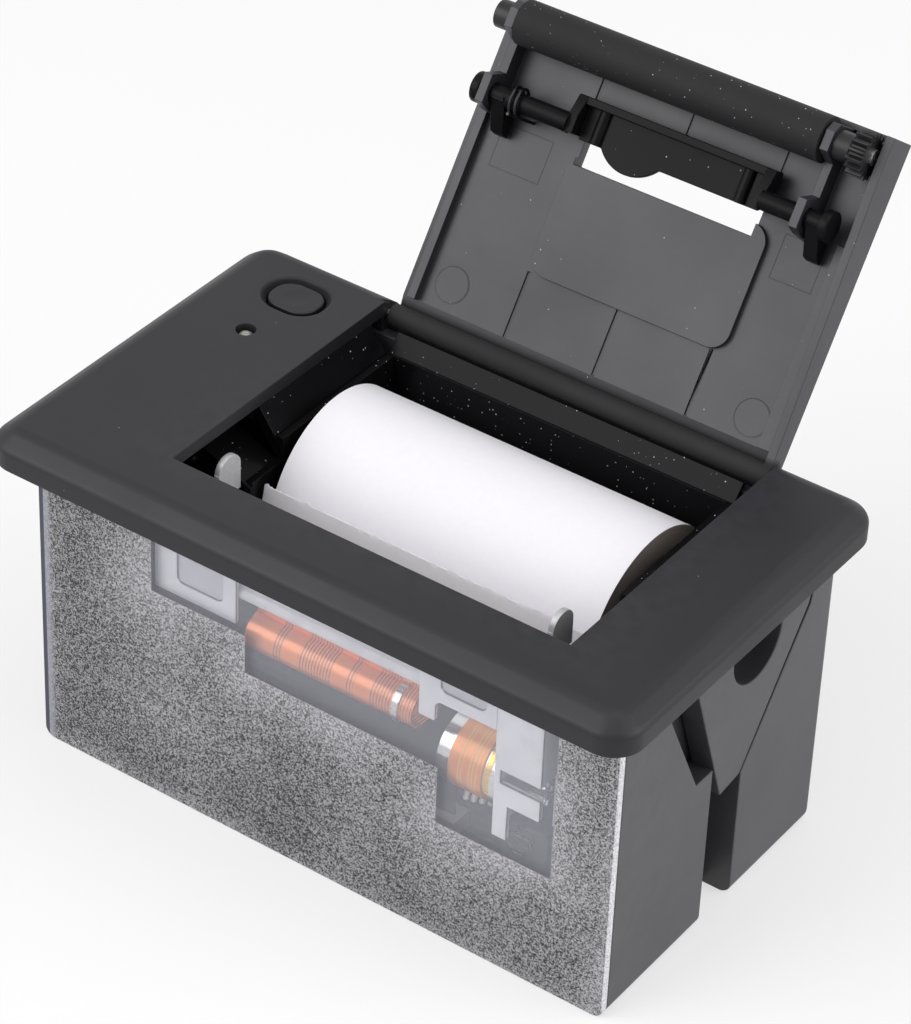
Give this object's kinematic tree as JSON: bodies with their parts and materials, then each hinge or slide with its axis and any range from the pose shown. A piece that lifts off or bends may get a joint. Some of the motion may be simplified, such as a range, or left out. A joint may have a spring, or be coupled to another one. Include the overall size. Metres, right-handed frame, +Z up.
{
  "type": "receipt printer",
  "caption": "Panel-mount thermal receipt printer with a hinged paper lid, platen roller, paper roll in its bin, clear front cover, feed button and side mounting clips.",
  "frame": {"origin": "centre of the housing base, on the face it rests on", "axes": "+X to the right, +Y to the back where the lid hinges, +Z up"},
  "size_m": [0.111, 0.095, 0.1011],
  "materials": {
    "bezel": "fine matte moulded",
    "housing": "fine matte moulded",
    "front_cover": "clear acrylic, frosted outside its window",
    "black_plastic": "matte moulded",
    "bin": "glossy moulded",
    "paper": "smooth coated",
    "card": "plain",
    "rubber": "ground",
    "steel": "bright",
    "frame": "satin cast",
    "nickel": "plated",
    "copper_flex": "copper tracks under amber film",
    "gear_plastic": "moulded",
    "idler_plastic": "moulded",
    "ceramic": "fired",
    "board": "solder resist",
    "socket": "moulded",
    "lamp": "milky resin",
    "magnet": "sintered"
  },
  "bodies": {
    "body": {"bezel": "bezel", "housing": "housing", "front_cover": "front_cover", "paper_bin": "bin", "paper_leader": "paper", "gear_posts": "steel", "motor_can": "nickel", "motor_flange": "nickel", "motor_flex_wrap": "copper_flex", "motor_pins": "nickel", "gear_bracket": "frame", "mechanism_frame": "frame", "fork_left": "steel", "fork_right": "steel", "head_pin": "steel", "head_flex_cable": "copper_flex", "flex_clamp": "steel", "flex_socket": "socket", "paper_sensor": "gear_plastic", "lid_switch": "gear_plastic", "button_board": "board", "button_switch": "gear_plastic", "status_lamp": "lamp", "control_board": "board", "power_socket": "socket", "data_socket": "socket", "usb_socket": "nickel", "bezel_screws": "steel", "board_screws": "steel", "leg_screw": "steel"},
    "lid": {"lid_shell": "black_plastic", "hinge_pins": "steel", "lever_spring": "steel", "platen_bushings": "gear_plastic"},
    "platen": {"platen_shaft": "steel", "platen_rubber": "rubber", "platen_gear": "gear_plastic"},
    "lever": {"release_lever": "black_plastic"},
    "roll": {"paper_roll": "paper", "roll_core": "card"},
    "motor_rotor_body": {"motor_shaft": "steel", "motor_pinion": "steel", "motor_rotor": "magnet"},
    "upper_idler": {"upper_idler_gear": "idler_plastic"},
    "lower_idler": {"lower_idler_gear": "idler_plastic"},
    "print_head": {"head_heat_sink": "frame", "head_heater_strip": "ceramic", "head_leaf_spring": "steel"},
    "button": {"feed_button": "bezel"},
    "clip_left": {"mounting_clip_left": "housing"},
    "clip_right": {"mounting_clip_right": "housing"}
  },
  "joints": [
    {"name": "lid_hinge", "type": "hinge", "parent": "body", "child": "lid", "pos_m": [0, 0.0284, 0.0565], "axis": [-1, 0, 0], "range_deg": [-125, 0]},
    {"name": "platen_spin", "type": "hinge", "parent": "lid", "child": "platen", "pos_m": [0, 0.05289, 0.09758], "axis": [1, 0, 0], "continuous": true},
    {"name": "lever_pivot", "type": "hinge", "parent": "lid", "child": "lever", "pos_m": [0, 0.046, 0.08861], "axis": [-1, 0, 0], "range_deg": [0, 15], "stiffness_Nm_per_rad": 0.01, "springref_deg": -22.92},
    {"name": "roll_spin", "type": "hinge", "parent": "body", "child": "roll", "pos_m": [0, 0.007, 0.0395], "axis": [1, 0, 0], "continuous": true},
    {"name": "motor_spin", "type": "hinge", "parent": "body", "child": "motor_rotor_body", "pos_m": [0, -0.02063, 0.03017], "axis": [1, 0, 0], "continuous": true},
    {"name": "lower_idler_spin", "type": "hinge", "parent": "body", "child": "lower_idler", "pos_m": [0, -0.01813, 0.03606], "axis": [1, 0, 0], "continuous": true},
    {"name": "upper_idler_spin", "type": "hinge", "parent": "body", "child": "upper_idler", "pos_m": [0, -0.0193, 0.04438], "axis": [1, 0, 0], "continuous": true},
    {"name": "head_tilt", "type": "hinge", "parent": "body", "child": "print_head", "pos_m": [0, -0.02445, 0.0424], "axis": [1, 0, 0], "range_deg": [0, 1.5], "stiffness_Nm_per_rad": 1, "springref_deg": -2.86},
    {"name": "button_press", "type": "slide", "parent": "body", "child": "button", "axis": [0, 0, -1], "range_m": [0, 0.0006], "stiffness_N_per_m": 600, "springref_m": -0.0005},
    {"name": "clip_left_slide", "type": "slide", "parent": "body", "child": "clip_left", "axis": [0, 0, 1], "range_m": [0, 0.002]},
    {"name": "clip_right_slide", "type": "slide", "parent": "body", "child": "clip_right", "axis": [0, 0, 1], "range_m": [0, 0.002]}
  ],
  "couplings": [
    {"joint": "lower_idler_spin", "follows": "motor_spin", "ratio": -0.6},
    {"joint": "upper_idler_spin", "follows": "motor_spin", "ratio": 0.54545}
  ]
}
